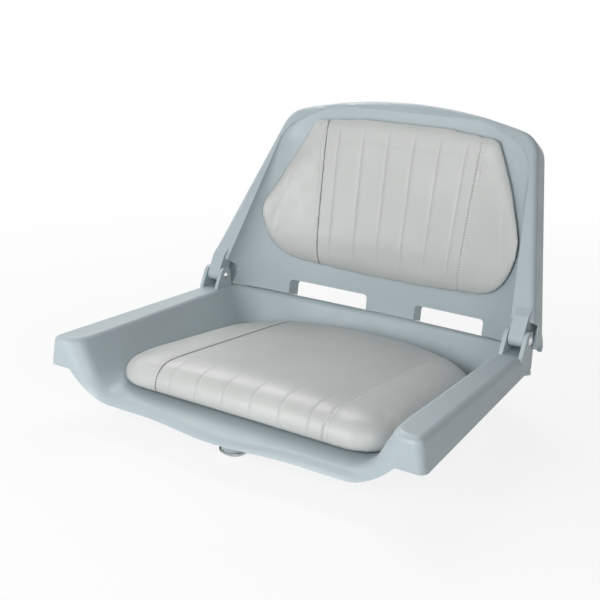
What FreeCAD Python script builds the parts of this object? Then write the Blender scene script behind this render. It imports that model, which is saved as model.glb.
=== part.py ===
import FreeCAD, Part
import math
import os

from FreeCAD import Matrix, Placement, Rotation, Vector

# Folding boat seat: a moulded tray with two arms, and a moulded dish back that folds
# forward on two pins until its rim lies over the arms. Millimetres, +Z up, the sitter
# faces -Y, origin in the middle of the mounting bolts on the plane the bosses rest on.

# Tray
TRAY_WIDTH = 510.0
TRAY_WIDTH_REAR = 486.0
ARM_LENGTH = 312.0
ARM_HEIGHT = 100.0
MOUNT_SETBACK = 245.0
WALL = 4.0
SKIRT_FRONT = 37.0
SKIRT_REAR = 24.0
SKIRT_HEEL = 32.0
HEEL_LENGTH = 30.0
SKIRT_DRAFT = 6.0
ARM_CORNER_R = 9.0
ARM_EDGE_R = 8.0
FRONT_BLEND_R = 22.0
LIP_EDGE_R = 16.0
CREASE_R = 90.0

# Pan inside the tray
PAN_TILT = 4.0
PAN_DEPTH = 54.4
PAN_HALF_FRONT = 183.0
PAN_HALF_REAR = 168.0
PAN_WALL_ANGLE = 28.0
PAN_CORNER_R = 36.0
BOWL_START = 292.0
BOWL_BOW = 92.0
LIP_DROOP = 8.0
LIP_LENGTH = 47.0
LIP_BOW = 12.0
LIP_BOW_HALF = 105.0
LIP_DEPTH = 69.0
LIP_FLAT_HALF = 165.0
LIP_SIDE_HALF = 222.0
LIP_RISE = 1.8

# Rear ledge that the back leans on
LEDGE_SLOPE = 18.0
LEDGE_WIDTH = 14.0
STOP_GAP = 0.4

# Mounting
BOLT_SPACING = 127.0
BOSS_R = 15.0
INSERT_R = 6.0
INSERT_LENGTH = 16.0
INSERT_FLANGE_R = 9.0
INSERT_FLANGE = 1.2
THREAD_R = 3.2
FIT_CLEAR = 0.05
RIB = 3.0
RIB_LIFT = 8.0
RIB_REACH = 85.0
ARM_RIBS = 4
ARM_RIB_DEPTH = 20.0
FOOT_R = 18.0
FOOT_SETBACK = 36.0
FOOT_DOME = 7.0
FOOT_RIM = 2.0
FOOT_STEM_R = 2.5
FOOT_STEM = 12.0

# Hinge
PIN_FROM_FRONT = 293.0
PIN_LIFT = 16.2
PIN_R = 3.0
RUN_CLEAR = 0.06
EAR_R = 11.0
EAR_THICK = 5.0
EAR_OUTER = 240.0
EAR_GAP = 20.0
EAR_FOOT_FRONT = 20.0
EAR_FOOT_REAR = 13.0
EAR_ROOT_OUTER = 22.0
EAR_ROOT_INNER = 8.0
SIDE_CLEAR = 0.8
TONGUE_R = 9.5
HEAD_R = 4.6
HEAD_RISE = 2.4
WASHER_R = 6.2
WASHER_THICK = 0.8
CAP_RISE = 3.2
CAP_BITE = 1.6

# Back
BACK_RECLINE = 28.0
RIM_AHEAD = 5.0
RIM_DEPTH = 31.0
RIM_FOOT = 6.0
RIM_HALF = 247.0
RIM_TAPER = 0.2532
RIM_TOP = 278.0
RIM_CORNER_H = 250.0
RIM_CORNER_R = 37.0
RIM_FOOT_R = 8.0
RIM_EDGE_R = 7.0
DISH_HALF = 215.0
DISH_TAPER = 0.1432
DISH_SHOULDER_H = 195.0
DISH_NARROW = 73.0
DISH_SLOPE = 0.435
DISH_TOP = 262.5
DISH_EDGE = 0.3
POCKET_H = 21.0
POCKET_DEPTH = 21.0
HEAD_POCKET = 8.0
POCKET_CLEAR = 1.5
CUP_R = 27.5
CUP_WALL = 3.0
TONGUE_TOP = 26.0
TONGUE_END = 40.0
NOTCH_INNER = 37.5
NOTCH_OUTER = 149.5
NOTCH_HEIGHT = 20.5
NOTCH_R = 5.0
LOWER_FLANGE = 20.0

# Cushions
COVER = 1.6
FOAM_GAP = 0.5
SEAM_HALF = 115.6
SEAM_GAP = 0.4
SEAT_PAD_THICK = 38.0
SEAT_PAD_FRONT = 32.0
SEAT_PAD_REAR = 334.0
SEAT_PAD_HALF = 190.0
SEAT_PAD_EDGE_R = 16.0
SEAT_PAD_LIFT = 2.0
SEAT_BOARD = 9.0
BOARD_INSET = 14.0
HEM = 50.0
BACK_SEAM_HALF = 107.0
BACK_PAD_LOW = 53.0
BACK_PAD_HIGH = 245.0
BACK_PAD_WIDE_H = 112.0
BACK_PAD_HALF = 197.0
BACK_PAD_LOW_HALF = 175.0
BACK_PAD_TOP_HALF = 128.0
BACK_FACE_AHEAD = 12.0
BACK_FACE_DEPTH = 99.2
BACK_FACE_SLOPE = 0.369
BACK_FACE_OUT = 4.0
BACK_HEM = 30.0
BACK_BOARD = 4.0
PAD_CLEAR = 1.0
SCREW_R = 2.0
SCREW_HEAD_R = 4.4
SCREW_HEAD = 2.6
SCREW_BITE = 6.0
BACK_SCREW_BITE = 3.5
SCREW_HOLE_R = 2.5
SCREW_BOSS_R = 7.0
SCREW_BOSS = 6.0
STAPLE_CROWN = 10.0
STAPLE_WIRE = 0.6
STAPLE_LEG = 5.0

FRONT_Y = -MOUNT_SETBACK
REAR_Y = FRONT_Y + ARM_LENGTH
PIN_Y = FRONT_Y + PIN_FROM_FRONT
PIN_Z = ARM_HEIGHT + PIN_LIFT
EAR_INNER = EAR_OUTER - 2 * EAR_THICK - EAR_GAP
X_AXIS = Vector(1, 0, 0)

PAN_PLACE = Placement(Vector(0, FRONT_Y, ARM_HEIGHT - PAN_DEPTH), Rotation(X_AXIS, -PAN_TILT))
BACK_PLACE = Placement(Vector(0, PIN_Y, PIN_Z), Rotation(X_AXIS, -BACK_RECLINE))
LEDGE_PLACE = Placement(Vector(0, REAR_Y, ARM_HEIGHT), Rotation(X_AXIS, -LEDGE_SLOPE))

os.makedirs("parts", exist_ok=True)
drawing = FreeCAD.newDocument("folding_seat")


def moved(shape, place):
    """A copy of the shape carried by the placement."""
    result = shape.copy()
    result.transformShape(place.toMatrix(), True)
    return result


def wire(points):
    """Closed straight-sided wire through the points."""
    return Part.makePolygon(points + points[:1])


def slab(points, along):
    """Prism on a closed straight-sided outline."""
    return Part.Face(wire(points)).extrude(along)


def box(x0, x1, y0, y1, z0, z1):
    """Box between two corners."""
    return Part.makeBox(x1 - x0, y1 - y0, z1 - z0, Vector(x0, y0, z0))


def both(shape):
    """The shape and its mirror image across the middle plane."""
    return [shape, shape.mirror(Vector(0, 0, 0), X_AXIS)]


def rod(x0, x1, y, z, radius):
    """Cylinder along X."""
    return Part.makeCylinder(radius, x1 - x0, Vector(x0, y, z), X_AXIS)


def joined(shapes):
    """One solid made of all the shapes."""
    result = shapes[0].fuse(shapes[1:])
    return result.removeSplitter()


def group(shapes):
    """Separate solids kept together."""
    return Part.makeCompound(shapes)


def lip_bow(x):
    """How far the middle of the front lip stands forward of the arm fronts."""
    if abs(x) >= LIP_BOW_HALF:
        return 0.0
    return LIP_BOW * math.cos(math.pi / 2 * x / LIP_BOW_HALF) ** 2


# Tray outer form, inset by a given amount on every side, with its rear ledge sloped
def tray_block(inset):
    top_z = ARM_HEIGHT - inset
    low_z = -40.0 - inset
    flare = SKIRT_DRAFT / SKIRT_FRONT * (ARM_HEIGHT + 40.0)
    y0 = FRONT_Y + inset
    y1 = FRONT_Y + BOWL_START
    rings = []
    for z, grow in ((top_z, -inset), (low_z, flare - inset)):
        half_f = TRAY_WIDTH / 2 - SKIRT_DRAFT + grow
        half_r = TRAY_WIDTH_REAR / 2 - SKIRT_DRAFT + grow
        minor = BOWL_BOW + LEDGE_WIDTH + grow
        centre = Vector(0, y1, z)
        oval = Part.Ellipse(centre + Vector(half_r, 0, 0), centre + Vector(0, minor, 0), centre)
        front = Part.BSplineCurve()
        front.interpolate([Vector(half_f * i / 16.0, y0 - lip_bow(half_f * i / 16.0), z)
                           for i in range(-16, 17)])
        rings.append(Part.Wire([
            front.toShape(),
            Part.makeLine(Vector(half_f, y0, z), Vector(half_r, y1, z)),
            Part.ArcOfEllipse(oval, 0, math.pi).toShape(),
            Part.makeLine(Vector(-half_r, y1, z), Vector(-half_f, y0, z))]))
    block = Part.makeLoft(rings, True, True)
    corners = [e for e in block.Edges
               if e.BoundBox.ZLength > 50 and e.BoundBox.YMax < y0 + 30.0]
    block = block.makeFillet(ARM_CORNER_R - inset, corners)
    above = moved(box(-400, 400, 0, 300, -inset, 200), LEDGE_PLACE)
    block = block.cut(above)
    crease = [e for e in block.Edges if e.BoundBox.YLength < 0.01 and e.BoundBox.ZLength < 0.01
              and e.BoundBox.ZMin > top_z - 0.01 and e.BoundBox.YMin > y1]
    return block.makeFillet(CREASE_R, crease)


def bowl_half():
    """Half-width of the pan opening at arm level where the rear bowl starts."""
    depth = PAN_DEPTH + BOWL_START * math.tan(math.radians(PAN_TILT))
    return PAN_HALF_REAR + depth * math.tan(math.radians(PAN_WALL_ANGLE))


def pan_outline(half, floor, radius, top):
    """Points of half of a pan section: floor end, arc middle, wall start, wall top."""
    slant = math.radians(PAN_WALL_ANGLE)
    reach = radius * math.tan((math.pi / 2 - slant) / 2)
    mid = -(math.pi / 2 + slant) / 2
    return [(half - reach, floor),
            (half - reach + radius * math.cos(mid), floor + radius + radius * math.sin(mid)),
            (half + reach * math.sin(slant), floor + reach * math.cos(slant)),
            (half + (top - floor) * math.tan(slant), top)]


# Space inside the pan, grown by a given amount: a trough with a drooping front lip and
# a bowl at the rear, both with sloping walls and a large floor radius
def pan_space(grow):
    slant = math.radians(PAN_WALL_ANGLE)
    spread = grow * (1 / math.cos(slant) - math.tan(slant))
    radius = PAN_CORNER_R + grow
    top = 150.0

    def half_at(y):
        return PAN_HALF_FRONT + (PAN_HALF_REAR - PAN_HALF_FRONT) * y / BOWL_START + spread

    def floor_at(y):
        fall = max(0.0, (LIP_LENGTH - y) / LIP_LENGTH)
        return -grow - LIP_DROOP * fall ** 2

    def ring_at(y):
        a, b, c, d = pan_outline(half_at(y), floor_at(y), radius, top)
        left = [Vector(-p[0], y, p[1]) for p in (d, c, b, a)]
        right = [Vector(p[0], y, p[1]) for p in (a, b, c, d)]
        return Part.Wire([
            Part.makeLine(left[0], left[1]),
            Part.Arc(left[1], left[2], left[3]).toShape(),
            Part.makeLine(left[3], right[0]),
            Part.Arc(right[0], right[1], right[2]).toShape(),
            Part.makeLine(right[2], right[3]),
            Part.makeLine(right[3], left[0])])

    lip = Part.makeLoft([ring_at(LIP_LENGTH * i / 3.0) for i in range(-3, 4)], True, False)
    trough = Part.makeLoft([ring_at(LIP_LENGTH), ring_at(BOWL_START)], True, True)
    a, b, c, d = [Vector(p[0], BOWL_START, p[1])
                  for p in pan_outline(half_at(BOWL_START), -grow, radius, top)]
    low = Vector(0, BOWL_START, -grow)
    high = Vector(0, BOWL_START, top)
    half = Part.Wire([Part.makeLine(low, a), Part.Arc(a, b, c).toShape(), Part.makeLine(c, d),
                      Part.makeLine(d, high), Part.makeLine(high, low)])
    bowl = Part.Face(half).revolve(Vector(0, BOWL_START, 0), Vector(0, 0, 1), 180)
    squeeze = Matrix()
    squeeze.move(Vector(0, -BOWL_START, 0))
    squeeze.scale(1, (BOWL_BOW + grow) / (bowl_half() + grow), 1)
    squeeze.move(Vector(0, BOWL_START, 0))
    bowl = bowl.transformGeometry(squeeze)
    return moved(joined([lip, trough, bowl]), PAN_PLACE)


# Seat shell: pan, arms and skirts as one wall of even thickness, open underneath
def front_edges(shape, inset):
    """Edges where the pan and arm tops run out at the front face."""
    return [e for e in shape.Edges
            if e.BoundBox.YMax < FRONT_Y + inset + 0.02 and e.BoundBox.ZMin > 0]


def top_edges(shape):
    """Edges round the arm tops and the rear ledge."""
    level = ARM_HEIGHT - 0.7 * PAN_DEPTH
    found = []
    for edge in shape.Edges:
        tops = 0
        for face in shape.ancestorsOfType(edge, Part.Face):
            u0, u1, v0, v1 = face.ParameterRange
            up = face.normalAt((u0 + u1) / 2, (v0 + v1) / 2).z
            if up > 0.9 and face.BoundBox.ZMin > level:
                tops += 1
        if tops == 1:
            found.append(edge)
    return found


def edge_rounds(shape, inset):
    """Groups of edges round the tray's front and top, each with its radius."""
    front = front_edges(shape, inset)
    lean = [e for e in front if e.BoundBox.ZLength > 10]
    lip = [e for e in front if e.BoundBox.ZLength <= 10 and e.BoundBox.XLength > PAN_HALF_FRONT]
    others = lean + lip
    top = [e for e in front + top_edges(shape) if not any(e.isSame(k) for k in others)]
    return [(lean, FRONT_BLEND_R - inset), (lip, LIP_EDGE_R - inset), (top, ARM_EDGE_R - inset)]


def blended(shape, groups):
    """The shape with each group of edges rounded by its own radius, all in one step."""
    base = drawing.addObject("Part::Feature", "base")
    base.Shape = shape
    rounds = drawing.addObject("Part::Fillet", "rounds")
    rounds.Base = base
    rounds.Edges = [(number, radius, radius) for edges, radius in groups
                    for number, edge in enumerate(shape.Edges, 1)
                    if any(edge.isSame(picked) for picked in edges)]
    drawing.recompute()
    return rounds.Shape


form = tray_block(0.0).cut(pan_space(0.0)).Solids[0]
form = blended(form, edge_rounds(form, 0.0))
core = tray_block(WALL).cut(pan_space(WALL)).Solids[0]
core = blended(core, edge_rounds(core, WALL))

# Everything below the skirt edge, except under the pan and behind the front lip
heel_y = REAR_Y - HEEL_LENGTH
tail_y = REAR_Y + 150.0
tail_z = ARM_HEIGHT - SKIRT_HEEL - 150.0 * math.tan(math.radians(LEDGE_SLOPE))
skirt_z = ARM_HEIGHT - SKIRT_FRONT
ahead_z = skirt_z - 60.0 * (SKIRT_FRONT - SKIRT_REAR) / (heel_y - FRONT_Y)
below = slab([Vector(-300, FRONT_Y - 60, ahead_z),
              Vector(-300, heel_y, ARM_HEIGHT - SKIRT_REAR),
              Vector(-300, REAR_Y, ARM_HEIGHT - SKIRT_HEEL), Vector(-300, tail_y, tail_z),
              Vector(-300, tail_y, -80), Vector(-300, FRONT_Y - 60, -80)], Vector(600, 0, 0))
under_half = bowl_half() - SKIRT_REAR * math.tan(math.radians(PAN_WALL_ANGLE)) + 2 * WALL
keep_pan = box(-under_half, under_half, FRONT_Y + 30, FRONT_Y + BOWL_START, -90, ARM_HEIGHT)
centre = Vector(0, FRONT_Y + BOWL_START, -90)
oval = Part.Ellipse(centre + Vector(bowl_half() + WALL + 1, 0, 0),
                    centre + Vector(0, BOWL_BOW + WALL + 1, 0), centre)
keep_bowl = Part.Face(Part.Wire(oval.toShape())).extrude(Vector(0, 0, 190))
lip_z = ARM_HEIGHT - LIP_DEPTH
lip_curve = []
for i in range(11):
    x = LIP_FLAT_HALF + (LIP_SIDE_HALF - LIP_FLAT_HALF) * i / 10.0
    lip_curve.append((x, lip_z + (skirt_z - lip_z) * (i / 10.0) ** LIP_RISE))
lip_curve.append((LIP_SIDE_HALF, ARM_HEIGHT))
lip_left = [Vector(-x, FRONT_Y - 60, z) for x, z in reversed(lip_curve)]
keep_lip = slab(lip_left + [Vector(x, FRONT_Y - 60, z) for x, z in lip_curve], Vector(0, 90.1, 0))
below = below.cut([keep_pan, keep_bowl, keep_lip])
shell = form.cut([core, below])

# Ribs, mounting bosses and the front foot boss under the pan, grown into the wall
fill = tray_block(WALL - 0.6).cut(pan_space(WALL - 0.6))
half = BOLT_SPACING / 2
bolts = [Vector(x, y, 0) for x in (-half, half) for y in (-half, half)]
foot_y = FRONT_Y + FOOT_SETBACK
under = [Part.makeCylinder(BOSS_R, ARM_HEIGHT, p) for p in bolts]
under.append(Part.makeCylinder(FOOT_R - 2, ARM_HEIGHT, Vector(0, foot_y, FOOT_DOME + FOOT_RIM)))
for at in (-half, half):
    reach = half + RIB_REACH
    under.append(box(-reach, reach, at - RIB / 2, at + RIB / 2, RIB_LIFT, ARM_HEIGHT))
    under.append(box(at - RIB / 2, at + RIB / 2, -reach, half + RIB_REACH / 3, RIB_LIFT, ARM_HEIGHT))
under.append(box(-RIB / 2, RIB / 2, foot_y, -half, 2 * RIB_LIFT, ARM_HEIGHT))
for i in range(ARM_RIBS):
    y = FRONT_Y + (i + 0.7) * ARM_LENGTH / (ARM_RIBS + 1)
    for x in (-1, 1):
        x0, x1 = sorted((x * PAN_HALF_FRONT, x * TRAY_WIDTH / 2))
        under.append(box(x0, x1, y, y + RIB, ARM_HEIGHT - ARM_RIB_DEPTH, ARM_HEIGHT))
under = [piece.common(fill) for piece in under]


# Hinge ears standing on the rear of each arm
def tangent(point, side):
    """Point where a line from the given point touches the ear circle, on one side."""
    dy = point.y - PIN_Y
    dz = point.z - PIN_Z
    reach = math.hypot(dy, dz)
    turn = math.atan2(dz, dy) + side * math.acos(EAR_R / reach)
    return Vector(point.x, PIN_Y + EAR_R * math.cos(turn), PIN_Z + EAR_R * math.sin(turn))


def ear(x, root):
    """Ear plate from x outwards: a round top that widens to its foot on the arm."""
    low = ARM_HEIGHT - root
    front = Vector(x, PIN_Y - EAR_FOOT_FRONT, ARM_HEIGHT)
    rear = Vector(x, PIN_Y + EAR_FOOT_REAR, ARM_HEIGHT)
    outline = [Vector(x, front.y, low), front, tangent(front, -1), tangent(rear, 1), rear,
               Vector(x, rear.y, low)]
    plate = slab(outline, Vector(EAR_THICK, 0, 0))
    return plate.fuse(rod(x, x + EAR_THICK, PIN_Y, PIN_Z, EAR_R))


ears = both(ear(EAR_INNER, EAR_ROOT_INNER)) + both(ear(EAR_OUTER - EAR_THICK, EAR_ROOT_OUTER))
shell = joined([shell] + under + ears)

pin_holes = both(rod(EAR_INNER - 1, EAR_OUTER + 1, PIN_Y, PIN_Z, PIN_R + FIT_CLEAR))
bores = [Part.makeCylinder(INSERT_R + FIT_CLEAR, INSERT_LENGTH, p) for p in bolts]
bores += [Part.makeCylinder(INSERT_FLANGE_R + FIT_CLEAR, INSERT_FLANGE, p) for p in bolts]
bores.append(Part.makeCylinder(FOOT_STEM_R + FIT_CLEAR, FOOT_DOME + FOOT_RIM + FOOT_STEM,
                               Vector(0, foot_y, 0)))
seat_screws = [Vector(x, y, -WALL) for x in (-100, 100) for y in (105, 255)]
for p in seat_screws:
    bores.append(moved(Part.makeCylinder(SCREW_HOLE_R, 3 * WALL, p - Vector(0, 0, WALL)), PAN_PLACE))
seat_shell = shell.cut(pin_holes + bores)
seat_shell.exportStep("parts/seat_shell.step")

# Threaded mounting inserts pressed flush into the four bosses
inserts = []
for p in bolts:
    sleeve = Part.makeCylinder(INSERT_R, INSERT_LENGTH, p)
    sleeve = sleeve.fuse(Part.makeCylinder(INSERT_FLANGE_R, INSERT_FLANGE, p))
    inserts.append(sleeve.cut(Part.makeCylinder(THREAD_R, INSERT_LENGTH, p)).removeSplitter())
group(inserts).exportStep("parts/mount_inserts.step")


def cap(x, way, radius, rise):
    """Round cap of a ball standing on a plane across X, rising in the given way."""
    ball = (radius ** 2 + rise ** 2) / (2 * rise)
    centre = Vector(x + way * (rise - ball), PIN_Y, PIN_Z)
    x0, x1 = sorted((x, x + way * (rise + 1)))
    room = box(x0, x1, PIN_Y - 2 * radius, PIN_Y + 2 * radius, PIN_Z - 2 * radius, PIN_Z + 2 * radius)
    return Part.makeSphere(ball, centre).common(room)


# Domed metal foot under the front lip
ball = (FOOT_R ** 2 + FOOT_DOME ** 2) / (2 * FOOT_DOME)
foot = Part.makeSphere(ball, Vector(0, foot_y, ball)).common(
    box(-FOOT_R - 5, FOOT_R + 5, foot_y - FOOT_R - 5, foot_y + FOOT_R + 5, -1, FOOT_DOME))
foot_z = FOOT_DOME + FOOT_RIM
foot = joined([foot, Part.makeCylinder(FOOT_R, FOOT_RIM, Vector(0, foot_y, FOOT_DOME)),
               Part.makeCylinder(FOOT_STEM_R, FOOT_STEM, Vector(0, foot_y, foot_z))])
foot.exportStep("parts/front_foot_glide.step")

# Hinge pins with domed outer heads, inner end caps and washers on the ear faces
head_x = EAR_OUTER + WASHER_THICK
cap_x = EAR_INNER - WASHER_THICK
pin = rod(cap_x - CAP_BITE, head_x, PIN_Y, PIN_Z, PIN_R)
pin = joined([pin, cap(head_x, 1, HEAD_R, HEAD_RISE)])
end_cap = cap(cap_x, -1, HEAD_R, CAP_RISE)
end_cap = end_cap.cut(rod(cap_x - CAP_BITE, cap_x, PIN_Y, PIN_Z, PIN_R + FIT_CLEAR))
for name, piece in (("hinge_pin", pin), ("pin_cap", end_cap)):
    right, left = both(piece)
    right.exportStep("parts/right_%s.step" % name)
    left.exportStep("parts/left_%s.step" % name)
washers = []
for x in (EAR_OUTER, cap_x):
    ring = rod(x, x + WASHER_THICK, PIN_Y, PIN_Z, WASHER_R)
    washers += both(ring.cut(rod(x, x + WASHER_THICK, PIN_Y, PIN_Z, PIN_R + FIT_CLEAR)))
group(washers).exportStep("parts/hinge_washers.step")


# Back, drawn upright: X across, Y behind the pins, Z up the rim from the pins
def dish_half(h):
    """Half-width of the dish opening at a height up the rim."""
    rise = max(0.0, (h - DISH_SHOULDER_H) / (DISH_TOP - DISH_SHOULDER_H))
    return DISH_HALF - DISH_TAPER * h - DISH_NARROW * rise ** 3


def dish_depth(h):
    """Depth of the dish behind the rim face at a height up the rim."""
    return DISH_SLOPE * (DISH_TOP - h) + DISH_EDGE


def half_oval(h, half, depth, ahead):
    """Closed half-ellipse across the back at one height, its open side ahead of the pins."""
    centre = Vector(0, -ahead, h)
    oval = Part.Ellipse(centre + Vector(half, 0, 0), centre + Vector(0, depth, 0), centre)
    return Part.Wire([Part.ArcOfEllipse(oval, 0, math.pi).toShape(),
                      Part.makeLine(centre - Vector(half, 0, 0), centre + Vector(half, 0, 0))])


def swept(top, half_at, depth_at, ahead):
    """Solid of half-ellipses up the back: straight below the shoulder, curving in above it."""
    upper = [DISH_SHOULDER_H + i * (top - DISH_SHOULDER_H) / 6 for i in range(7)]
    lofts = []
    for heights, ruled in (([-70.0, DISH_SHOULDER_H], True), (upper, False)):
        rings = [half_oval(h, half_at(h), depth_at(h), ahead) for h in heights]
        lofts.append(Part.makeLoft(rings, True, ruled))
    return joined(lofts)


def dish(grow):
    """Space inside the dish, grown by a given amount."""
    top = DISH_TOP - max(0.0, -grow) / DISH_SLOPE
    return swept(top, lambda h: dish_half(h) + grow, lambda h: dish_depth(h) + grow, RIM_AHEAD)


corner_x = RIM_HALF - RIM_TAPER * RIM_CORNER_H
foot_x = RIM_HALF + RIM_TAPER * RIM_FOOT
face_b = -RIM_AHEAD
low_left = Vector(-foot_x, face_b, -RIM_FOOT)
low_right = Vector(foot_x, face_b, -RIM_FOOT)
top_left = Vector(-corner_x, face_b, RIM_CORNER_H)
top_right = Vector(corner_x, face_b, RIM_CORNER_H)
outline = Part.Wire([Part.makeLine(low_left, low_right), Part.makeLine(low_right, top_right),
                     Part.Arc(top_right, Vector(0, face_b, RIM_TOP), top_left).toShape(),
                     Part.makeLine(top_left, low_left)])
rim = Part.Face(outline).extrude(Vector(0, RIM_DEPTH, 0))
rim = rim.makeFillet(RIM_CORNER_R, [e for e in rim.Edges if e.BoundBox.YLength > RIM_DEPTH - 1
                                    and e.BoundBox.ZMin > RIM_CORNER_H - 1])
rim = rim.makeFillet(RIM_FOOT_R, [e for e in rim.Edges if e.BoundBox.YLength > RIM_DEPTH - 1
                                  and e.BoundBox.ZMax < 0])
rim_face = [f for f in rim.Faces if f.BoundBox.YMax < face_b + 0.01][0]
inner = rim_face.makeOffset2D(-WALL)
inner.translate(Vector(0, WALL, 0))
inner = inner.extrude(Vector(0, RIM_DEPTH, 0))
rim = rim.makeFillet(RIM_EDGE_R, [e for e in rim.Edges if e.BoundBox.YMax < face_b + 0.01
                                  and e.BoundBox.ZMax > 0])
rim = rim.cut(inner)
hollow = dish(0.0)
body = joined([rim, dish(WALL)]).cut(hollow)

# Lower edge of the dish: parallel to the ledge, with a return flange and two hand notches
TO_LEDGE = BACK_PLACE.inverse().multiply(LEDGE_PLACE)
low_cut = moved(box(-EAR_OUTER - 2, EAR_OUTER + 2, -120, 250, -250, STOP_GAP), TO_LEDGE)
pocket_x = cap_x - CAP_RISE - POCKET_CLEAR


def notch(grow):
    """Opening in the lower edge, grown by a given amount, as a solid."""
    top = STOP_GAP + NOTCH_HEIGHT + grow
    block = box(NOTCH_INNER - grow, NOTCH_OUTER + grow, -60, 200, STOP_GAP - 20, top)
    block = block.makeFillet(NOTCH_R + grow, [e for e in block.Edges if e.BoundBox.YLength > 200
                                              and e.BoundBox.ZMin > top - 1])
    return moved(block, TO_LEDGE)


border = dish(WALL + LOWER_FLANGE).cut(hollow)
flange = moved(box(-pocket_x, pocket_x, -60, 200, STOP_GAP, STOP_GAP + WALL), TO_LEDGE)
flange = joined([flange] + both(notch(WALL))).common(border)
body = joined([body, flange])

# Pockets for the ears and pin heads, each closed behind by a round cup, then the tongues
# that turn on the pins
cuts = [low_cut] + both(notch(0.0))
cuts += both(box(pocket_x, 300, -60, HEAD_POCKET, -90, POCKET_H))
cuts += both(box(pocket_x, EAR_OUTER + POCKET_CLEAR, -60, POCKET_DEPTH, -90, POCKET_H))
body = body.cut(cuts)
cup = rod(pocket_x - WALL, RIM_HALF, 0, 0, CUP_R + CUP_WALL)
cup = cup.cut(rod(pocket_x - WALL, RIM_HALF, 0, 0, CUP_R)).common(box(0, 300, 0, 60, -60, 60))
cup = cup.common(Part.Face(outline).extrude(Vector(0, 60, 0))).cut([hollow, low_cut])
tongue_in = EAR_INNER + EAR_THICK + SIDE_CLEAR
tongue_out = EAR_OUTER - EAR_THICK - SIDE_CLEAR
tongue = slab([Vector(tongue_in, -TONGUE_R, 0), Vector(tongue_in, TONGUE_R, 0),
               Vector(tongue_in, TONGUE_R, TONGUE_END), Vector(tongue_in, face_b + 1, TONGUE_END),
               Vector(tongue_in, -TONGUE_R, TONGUE_TOP)], Vector(tongue_out - tongue_in, 0, 0))
tongue = tongue.fuse(rod(tongue_in, tongue_out, 0, 0, TONGUE_R))
body = joined([body] + both(cup) + both(tongue))

# Screw bosses behind the dish for the back cushion
back_screws = []
for x, h in ((-72, 100), (72, 100), (-62, 205), (62, 205)):
    sag = dish_depth(h) * math.sqrt(1 - (x / dish_half(h)) ** 2)
    back_screws.append(Vector(x, face_b + sag, h))
Y_AXIS = Vector(0, 1, 0)
bosses = [Part.makeCylinder(SCREW_BOSS_R, WALL + SCREW_BOSS + 15, p - Vector(0, 15, 0), Y_AXIS)
          for p in back_screws]
body = joined([body] + [b.cut(hollow) for b in bosses])
holes = [Part.makeCylinder(SCREW_HOLE_R, 60, p - Vector(0, 30, 0), Y_AXIS) for p in back_screws]
holes += both(rod(tongue_in - 1, tongue_out + 1, 0, 0, PIN_R + RUN_CLEAR))
back_shell = moved(body.cut(holes), BACK_PLACE)
back_shell.exportStep("parts/back_shell.step")


# Seat cushion: an upholstered pad lying in the pan
def rounded(points, radii):
    """Flat face on a straight-sided outline in the XY plane, each corner rounded."""
    block = slab([Vector(x, y, 0) for x, y in points], Vector(0, 0, 10))
    for (x, y), radius in zip(points, radii):
        edges = [e for e in block.Edges if e.BoundBox.ZLength > 9
                 and abs(e.BoundBox.XMin - x) < 0.01 and abs(e.BoundBox.YMin - y) < 0.01]
        block = block.makeFillet(radius, edges)
    return [f for f in block.Faces if f.BoundBox.ZMax < 0.01][0]


def inset(face, amount):
    """The flat face drawn in by a given amount."""
    return face.makeOffset2D(-amount) if amount else face


def mirrored(points):
    """Right-hand outline points, front to rear, closed round the left-hand side."""
    return points + [(-x, y) for x, y in reversed(points)]


seat_points = [(SEAT_PAD_HALF - 16, SEAT_PAD_FRONT), (SEAT_PAD_HALF, SEAT_PAD_FRONT + 60),
               (SEAT_PAD_HALF - 12, SEAT_PAD_REAR - 72), (SEAT_PAD_HALF - 62, SEAT_PAD_REAR)]
seat_radii = [42, 60, 60, 40]
seat_plan = rounded(mirrored(seat_points), seat_radii + seat_radii[::-1])


def seat_prism(draw_in, z0, z1, edge_r):
    """Upright prism on the seat cushion plan with a rounded top edge, set in the pan."""
    base = inset(seat_plan, draw_in).copy()
    base.translate(Vector(0, 0, z0))
    block = base.extrude(Vector(0, 0, z1 - z0))
    if edge_r:
        block = block.makeFillet(edge_r, [e for e in block.Edges if e.BoundBox.ZMin > z1 - 0.01])
    return moved(block, PAN_PLACE)


lift = SEAT_PAD_LIFT
board_low = lift + COVER + 0.2
board_top = board_low + SEAT_BOARD
foam_in = COVER + FOAM_GAP
skin = seat_prism(0, -5, SEAT_PAD_THICK, SEAT_PAD_EDGE_R).common(pan_space(-lift))
room = seat_prism(COVER, -5, SEAT_PAD_THICK - COVER, SEAT_PAD_EDGE_R - COVER)
room = room.common(pan_space(-lift - COVER))
seat_cover = skin.cut([room, seat_prism(HEM, -5, board_low, 0)])
seat_board = seat_prism(BOARD_INSET, board_low, board_top, 0).common(pan_space(-board_low - 0.1))
seat_foam = seat_prism(foam_in, board_top + 0.2, SEAT_PAD_THICK - foam_in,
                       SEAT_PAD_EDGE_R - foam_in).common(pan_space(-lift - COVER - FOAM_GAP))


def staple(place):
    """Wire staple: crown along X just below the hem, two legs going up."""
    w = STAPLE_WIRE
    end = STAPLE_CROWN / 2
    crown = box(-end, end, -w / 2, w / 2, -w - 0.1, -0.1)
    legs = [box(x, x + w, -w / 2, w / 2, -w - 0.1, STAPLE_LEG) for x in (-end, end - w)]
    return moved(joined([crown] + legs), place)


spots = [(x, y, 90) for x in (-144, 144) for y in (100, 150, 200, 250)]
spots += [(x, 70, 0) for x in (-84, -28, 28, 84)] + [(x, 300, 0) for x in (-60, 0, 60)]
seat_staples = []
for x, y, turn in spots:
    place = Placement(Vector(x, y, lift), Rotation(Vector(0, 0, 1), turn))
    seat_staples.append(staple(PAN_PLACE.multiply(place)))
seat_cover = seat_cover.cut(seat_staples)


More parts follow.
